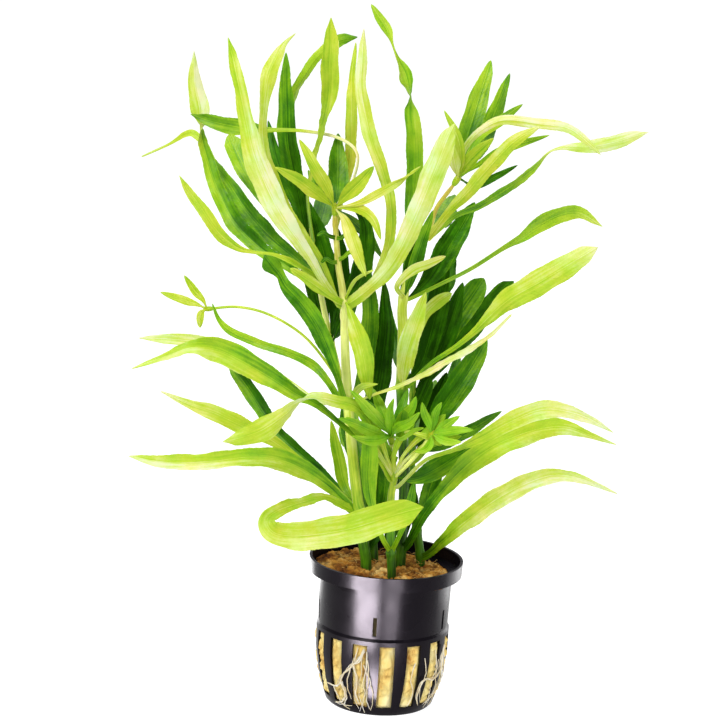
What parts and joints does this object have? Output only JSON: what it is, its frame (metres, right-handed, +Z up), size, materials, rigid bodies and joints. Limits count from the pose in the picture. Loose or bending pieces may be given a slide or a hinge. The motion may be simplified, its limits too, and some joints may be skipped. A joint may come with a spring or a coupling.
{
  "type": "potted pogostemon",
  "caption": "Leafy upright aquarium plant with long strap leaves in whorls, rooted in a rockwool plug inside a small black net pot.",
  "frame": {"origin": "centre of the flat under the pot, where it rests", "axes": "+Z up, -Y towards the side the plant is usually seen from, +X to the right of that view"},
  "size_m": [0.1839, 0.1327, 0.2479],
  "materials": {
    "leaf_dark": "satin",
    "leaf_green": "satin",
    "leaf_lime": "satin",
    "leaf_pale": "satin",
    "stem": "satin",
    "pot": "gloss",
    "rockwool": "matte",
    "root": "satin"
  },
  "bodies": {
    "root": {"crown_front": "leaf_lime", "crown_left": "leaf_lime", "crown_right": "leaf_lime", "crown_side": "leaf_lime", "leaf_arching_left": "leaf_green", "leaf_back_high_left": "leaf_green", "leaf_back_high_right": "leaf_green", "leaf_back_low_left": "leaf_green", "leaf_back_low_right": "leaf_green", "leaf_broad_right": "leaf_pale", "leaf_crown_tall": "leaf_lime", "leaf_dark_centre": "leaf_dark", "leaf_dark_inner": "leaf_dark", "leaf_dark_left": "leaf_dark", "leaf_dark_low_left": "leaf_dark", "leaf_dark_middle": "leaf_dark", "leaf_dark_right_a": "leaf_dark", "leaf_dark_right_b": "leaf_dark", "leaf_dark_right_c": "leaf_dark", "leaf_dark_right_d": "leaf_dark", "leaf_dark_right_e": "leaf_green", "leaf_dark_right_high": "leaf_dark", "leaf_dark_tall": "leaf_dark", "leaf_edge_on": "leaf_pale", "leaf_folded": "leaf_lime", "leaf_grey_twisted": "leaf_pale", "leaf_hanging": "leaf_pale", "leaf_left_inner": "leaf_green", "leaf_lime_low_left": "leaf_lime", "leaf_lime_right": "leaf_lime", "leaf_lime_right_top": "leaf_lime", "leaf_lime_sickle": "leaf_lime", "leaf_long_left": "leaf_lime", "leaf_long_left_back": "leaf_lime", "leaf_longest": "leaf_lime", "leaf_low_right": "leaf_lime", "leaf_narrow_left": "leaf_green", "leaf_pale_centre": "leaf_pale", "leaf_pale_middle": "leaf_pale", "leaf_pale_right": "leaf_pale", "leaf_stalked_right": "leaf_green", "leaf_tall_left": "leaf_lime", "leaf_tall_pale": "leaf_pale", "leaf_tall_second": "leaf_lime", "leaf_thin_right": "leaf_green", "leaf_top_twisted": "leaf_green", "leaf_twisted_top": "leaf_green", "leaf_upright_lime": "leaf_lime", "leaf_wavy_left": "leaf_green", "leaf_yellow_right": "leaf_pale", "net_pot": "pot", "rockwool_plug": "rockwool", "roots_left": "root", "roots_right": "root", "shoot_left": "leaf_lime", "stem_back_left": "stem", "stem_back_right": "stem", "stem_front": "stem", "stem_left": "stem", "stem_right": "stem"}
  },
  "joints": []
}
